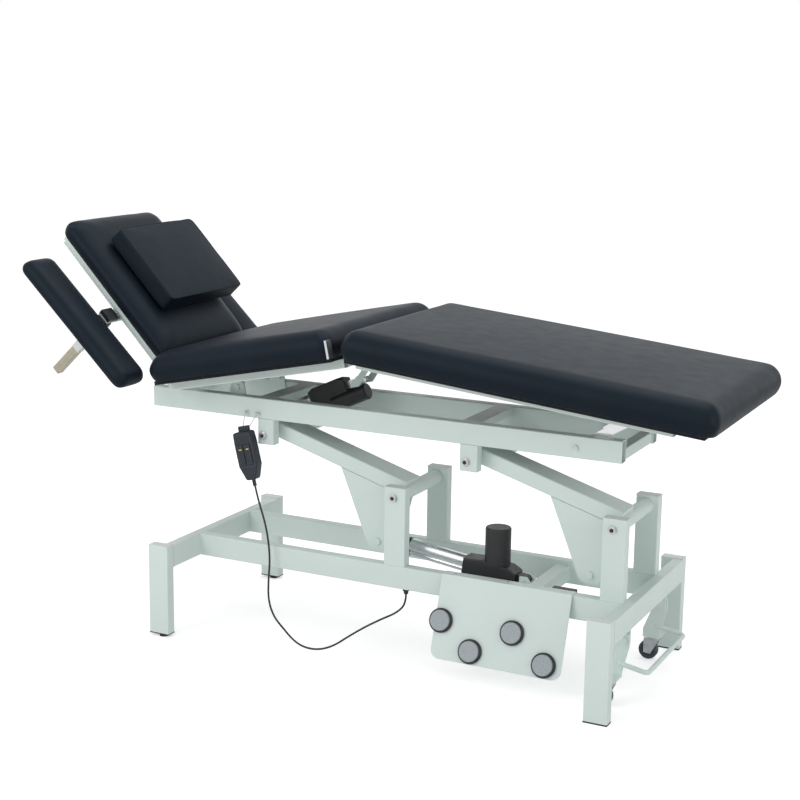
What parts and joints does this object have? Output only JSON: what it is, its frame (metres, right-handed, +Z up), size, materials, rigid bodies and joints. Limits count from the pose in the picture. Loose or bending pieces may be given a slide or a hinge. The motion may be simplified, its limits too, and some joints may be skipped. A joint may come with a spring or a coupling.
{
  "type": "treatment bed",
  "caption": "Powered treatment bed with a lifting frame, raised knee and back sections, padded armrests, a foot switch panel, a hung handset and a castor pedal",
  "frame": {"origin": "middle of the footprint on the floor under the feet", "axes": "+X runs to the foot end, +Y across the bed to the far side, +Z up"},
  "size_m": [1.8722, 0.758, 1.0851],
  "materials": {
    "frame_white": "off-white powder coat",
    "vinyl_black": "soft black vinyl, low sheen",
    "board_dark": "dark covered board",
    "chrome": "polished",
    "steel": "zinc plated",
    "drive_black": "black moulded housing",
    "drive_silver": "drawn tube",
    "button_grey": "fine ribbed grey",
    "plastic_black": "black",
    "key_yellow": "black key with yellow mark",
    "cap_white": "off-white",
    "cord_black": "black jacket",
    "wheel_black": "black tread"
  },
  "bodies": {
    "base": {"base_legs": "frame_white", "base_crossbars": "frame_white", "base_rails": "frame_white", "base_posts": "frame_white", "base_caps": "cap_white", "leg_feet": "plastic_black", "drive_anchor": "frame_white", "foot_panel": "frame_white", "foot_button_bezels": "plastic_black", "base_bolts": "steel", "control_box": "plastic_black", "cord_gland": "plastic_black"},
    "foot_button_1": {"foot_button_1": "button_grey"},
    "foot_button_2": {"foot_button_2": "button_grey"},
    "foot_button_3": {"foot_button_3": "button_grey"},
    "foot_button_4": {"foot_button_4": "button_grey"},
    "arm_head": {"lift_arm_head": "frame_white", "lift_lever_head": "frame_white"},
    "arm_foot": {"lift_arm_foot": "frame_white", "lift_lever_foot": "frame_white"},
    "lift_drive": {"lift_gearbox": "drive_black", "lift_motor": "drive_black", "lift_tube": "drive_silver"},
    "lift_rod": {"lift_rod": "drive_silver"},
    "top_frame": {"top_rails": "frame_white", "top_crossbars": "frame_white", "arm_brackets": "frame_white", "top_bolts": "steel", "top_lugs": "frame_white", "handset_hooks": "steel", "handset_body": "plastic_black"},
    "handset_key_1": {"handset_key_1": "key_yellow"},
    "handset_key_2": {"handset_key_2": "key_yellow"},
    "handset_cord": {"handset_cord": "cord_black"},
    "seat": {"seat_frame": "frame_white", "seat_board": "board_dark", "seat_cushion": "vinyl_black"},
    "leg_section": {"leg_frame": "frame_white", "leg_board": "board_dark", "leg_cushion": "vinyl_black"},
    "leg_link": {"leg_link": "chrome"},
    "back": {"back_frame": "frame_white", "back_board": "board_dark", "back_cushion": "vinyl_black", "pillow": "vinyl_black", "arm_posts": "chrome", "back_hinges": "steel"},
    "armrest_near": {"arm_clamp_near": "plastic_black", "arm_pad_near": "vinyl_black"},
    "armrest_far": {"arm_clamp_far": "plastic_black", "arm_pad_far": "vinyl_black"},
    "flex_rod": {"flex_rod": "drive_silver"},
    "flex_drive": {"flex_tube": "drive_silver", "flex_motor": "drive_black"},
    "castor_lever": {"castor_lever": "frame_white"},
    "castor_fork_near": {"castor_fork_near": "steel"},
    "castor_fork_far": {"castor_fork_far": "steel"},
    "castor_wheel_near": {"castor_wheel_near": "wheel_black"},
    "castor_wheel_far": {"castor_wheel_far": "wheel_black"}
  },
  "joints": [
    {"name": "lift", "type": "hinge", "parent": "base", "child": "arm_head", "pos_m": [0.06763, 0, 0.4295], "axis": [0, 1, 0], "range_deg": [-4, 20], "deforming": ["handset_cord"]},
    {"name": "arm_foot", "type": "hinge", "parent": "base", "child": "arm_foot", "pos_m": [0.65363, 0, 0.4295], "axis": [0, 1, 0], "range_deg": [-4.5, 20.5]},
    {"name": "top_level", "type": "hinge", "parent": "arm_head", "child": "top_frame", "pos_m": [-0.32238, 0, 0.5467], "axis": [0, 1, 0], "range_deg": [-20.5, 4.5]},
    {"name": "drive_swing", "type": "hinge", "parent": "base", "child": "lift_drive", "pos_m": [0.39963, -0.048, 0.238], "axis": [0, 1, 0], "range_deg": [-1, 4]},
    {"name": "rod_slide", "type": "slide", "parent": "lift_drive", "child": "lift_rod", "axis": [-0.9915, 0, 0.1304], "range_m": [-0.011, 0.051]},
    {"name": "flex", "type": "hinge", "parent": "top_frame", "child": "seat", "pos_m": [-0.42137, 0, 0.662], "axis": [0, -1, 0], "range_deg": [-13.4, 2.5]},
    {"name": "knee", "type": "hinge", "parent": "seat", "child": "leg_section", "pos_m": [-0.01824, 0, 0.77622], "axis": [0, -1, 0], "range_deg": [-3.6, 17.8]},
    {"name": "link_swing", "type": "hinge", "parent": "top_frame", "child": "leg_link", "pos_m": [0.55063, 0, 0.617], "axis": [0, -1, 0], "range_deg": [-17.6, 3.6]},
    {"name": "flex_swing", "type": "hinge", "parent": "top_frame", "child": "flex_rod", "pos_m": [-0.32438, 0, 0.592], "axis": [0, -1, 0], "range_deg": [-18, 3.8]},
    {"name": "flex_slide", "type": "slide", "parent": "flex_rod", "child": "flex_drive", "axis": [0.9056, 0, 0.4242], "range_m": [-0.0235, 0.0048]},
    {"name": "back_tilt", "type": "hinge", "parent": "seat", "child": "back", "pos_m": [-0.57145, 0, 0.66627], "axis": [0, 1, 0], "range_deg": [-57, 0]},
    {"name": "armrest_near", "type": "slide", "parent": "back", "child": "armrest_near", "axis": [0.7242, 0, 0.6896], "range_m": [-0.155, 0.003]},
    {"name": "armrest_far", "type": "slide", "parent": "back", "child": "armrest_far", "axis": [0.7242, 0, 0.6896], "range_m": [-0.155, 0.003]},
    {"name": "foot_button_1", "type": "slide", "parent": "base", "child": "foot_button_1", "axis": [0, 0.9458, -0.3247], "range_m": [0, 0.0035], "stiffness_N_per_m": 900},
    {"name": "foot_button_2", "type": "slide", "parent": "base", "child": "foot_button_2", "axis": [0, 0.9458, -0.3247], "range_m": [0, 0.0035], "stiffness_N_per_m": 900},
    {"name": "foot_button_3", "type": "slide", "parent": "base", "child": "foot_button_3", "axis": [0, 0.9458, -0.3247], "range_m": [0, 0.0035], "stiffness_N_per_m": 900},
    {"name": "foot_button_4", "type": "slide", "parent": "base", "child": "foot_button_4", "axis": [0, 0.9458, -0.3247], "range_m": [0, 0.0035], "stiffness_N_per_m": 900},
    {"name": "handset_key_1", "type": "hinge", "parent": "top_frame", "child": "handset_key_1", "pos_m": [-0.36753, -0.167, 0.49512], "axis": [0.9703, 0, 0.2419], "range_deg": [-3, 3], "stiffness_Nm_per_rad": 0.6},
    {"name": "handset_key_2", "type": "hinge", "parent": "top_frame", "child": "handset_key_2", "pos_m": [-0.34619, -0.167, 0.50044], "axis": [0.9703, 0, 0.2419], "range_deg": [-3, 3], "stiffness_Nm_per_rad": 0.6},
    {"name": "cord_sway", "type": "hinge", "parent": "top_frame", "child": "handset_cord", "pos_m": [-0.3355, -0.156, 0.4121], "axis": [0, 1, 0], "range_deg": [-4, 17.5]},
    {"name": "castor_lever", "type": "hinge", "parent": "base", "child": "castor_lever", "pos_m": [0.69763, 0, 0.165], "axis": [0, 1, 0], "range_deg": [0, 20]},
    {"name": "castor_swivel_near", "type": "hinge", "parent": "castor_lever", "child": "castor_fork_near", "pos_m": [0.67263, -0.178, 0.06], "axis": [0, 0, 1], "continuous": true},
    {"name": "castor_roll_near", "type": "hinge", "parent": "castor_fork_near", "child": "castor_wheel_near", "pos_m": [0.65863, -0.178, 0.026], "axis": [0, 1, 0], "continuous": true},
    {"name": "castor_swivel_far", "type": "hinge", "parent": "castor_lever", "child": "castor_fork_far", "pos_m": [0.67263, 0.178, 0.06], "axis": [0, 0, 1], "continuous": true},
    {"name": "castor_roll_far", "type": "hinge", "parent": "castor_fork_far", "child": "castor_wheel_far", "pos_m": [0.65863, 0.178, 0.026], "axis": [0, 1, 0], "continuous": true}
  ],
  "couplings": [
    {"joint": "arm_foot", "follows": "lift", "ratio": 1},
    {"joint": "top_level", "follows": "lift", "ratio": -1},
    {"joint": "drive_swing", "follows": "lift", "ratio": 0.165},
    {"joint": "rod_slide", "follows": "lift", "m_per_rad": 0.14037},
    {"joint": "knee", "follows": "flex", "ratio": -1.297},
    {"joint": "link_swing", "follows": "flex", "ratio": 1.281},
    {"joint": "flex_swing", "follows": "flex", "ratio": 1.3},
    {"joint": "flex_slide", "follows": "flex", "m_per_rad": 0.09626},
    {"joint": "cord_sway", "follows": "lift", "ratio": 0.84}
  ]
}
